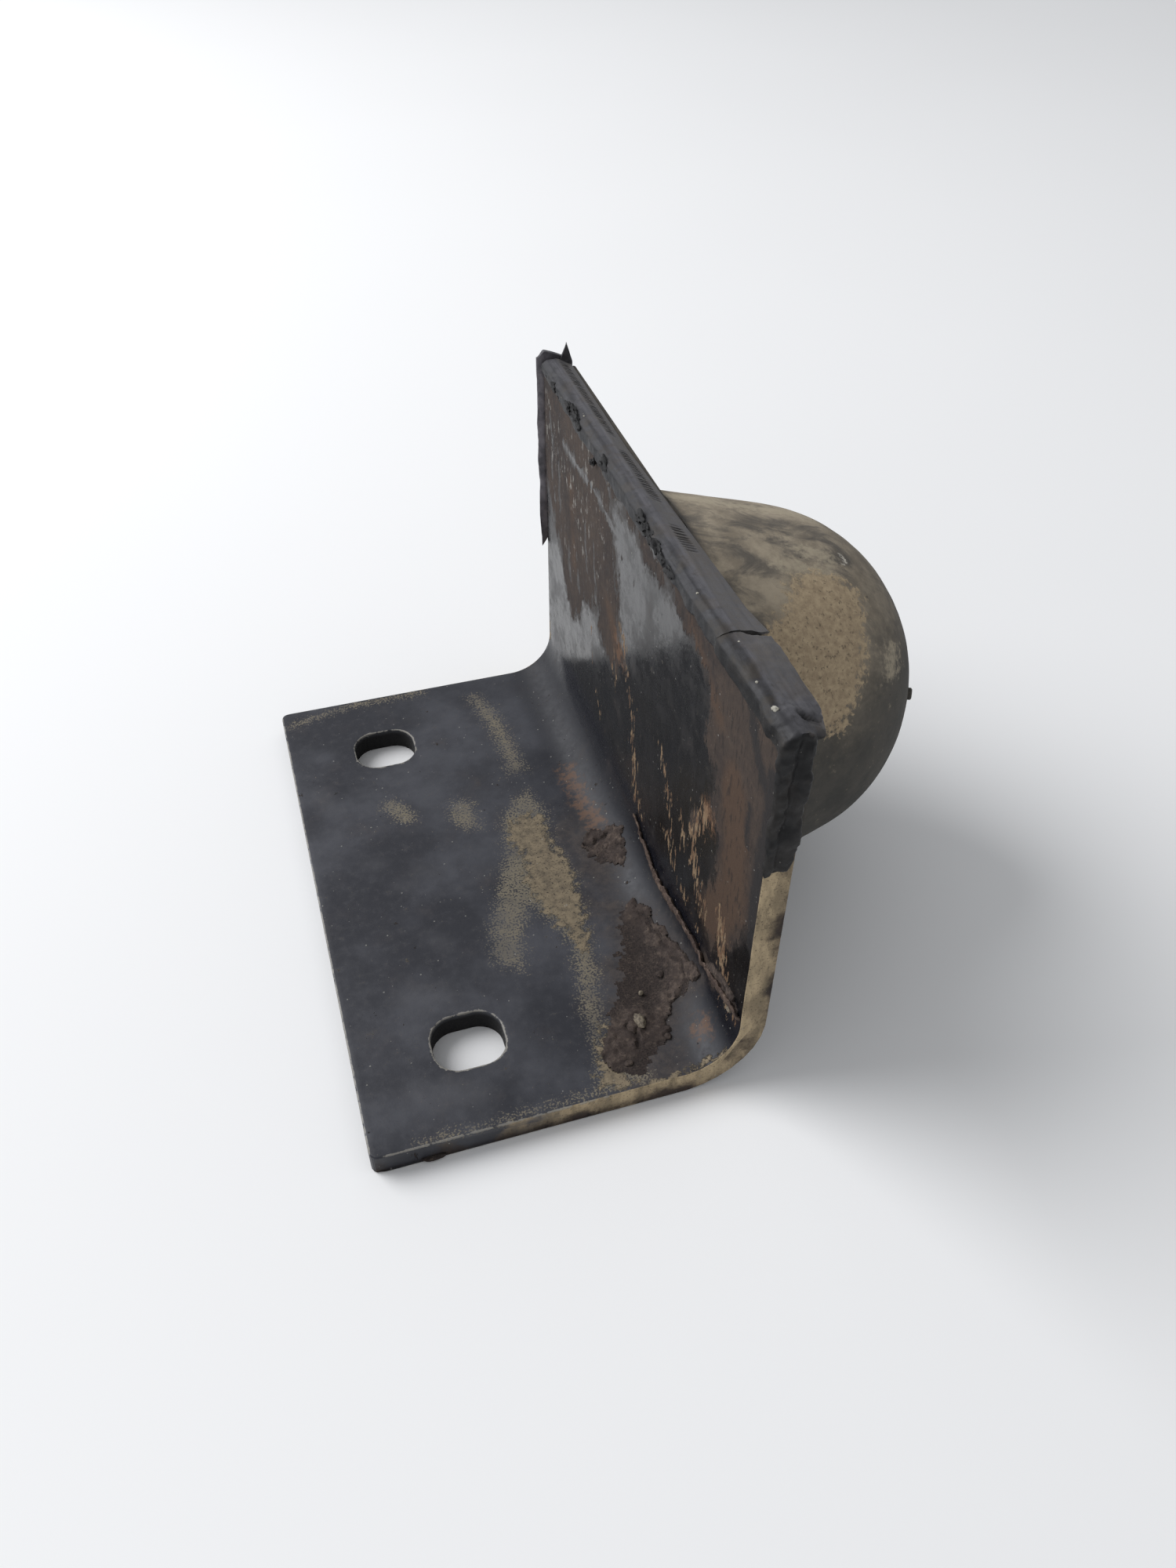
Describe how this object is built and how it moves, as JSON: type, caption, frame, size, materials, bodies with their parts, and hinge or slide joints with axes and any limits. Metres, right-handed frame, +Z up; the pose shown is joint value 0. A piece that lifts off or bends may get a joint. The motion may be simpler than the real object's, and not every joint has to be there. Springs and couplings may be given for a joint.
{
  "type": "bracket-mounted rubber bump stop",
  "caption": "Bent steel L-bracket with slotted bolt holes, carrying a domed rubber buffer whose moulded lips turn over the edges of the upright.",
  "frame": {"origin": "on the underside of the base flange, midway between the two bolt slots", "axes": "+X towards the nose of the buffer, +Y along the bend towards the worn rear lip, +Z up, away from the surface that the flange bolts to"},
  "size_m": [0.144, 0.148, 0.102],
  "materials": {
    "painted_steel": "worn charcoal paint over rusted steel, dusty, with dried mud along the bend",
    "buffer_rubber": "dark rubber under tan-brown dust",
    "lip_rubber": "grey-black weathered rubber, torn and cracked along its edges"
  },
  "bodies": {
    "root": {"mounting_bracket": "painted_steel", "buffer_dome": "buffer_rubber", "top_lip": "lip_rubber", "front_corner_lip": "lip_rubber", "rear_side_lip": "lip_rubber"}
  },
  "joints": []
}
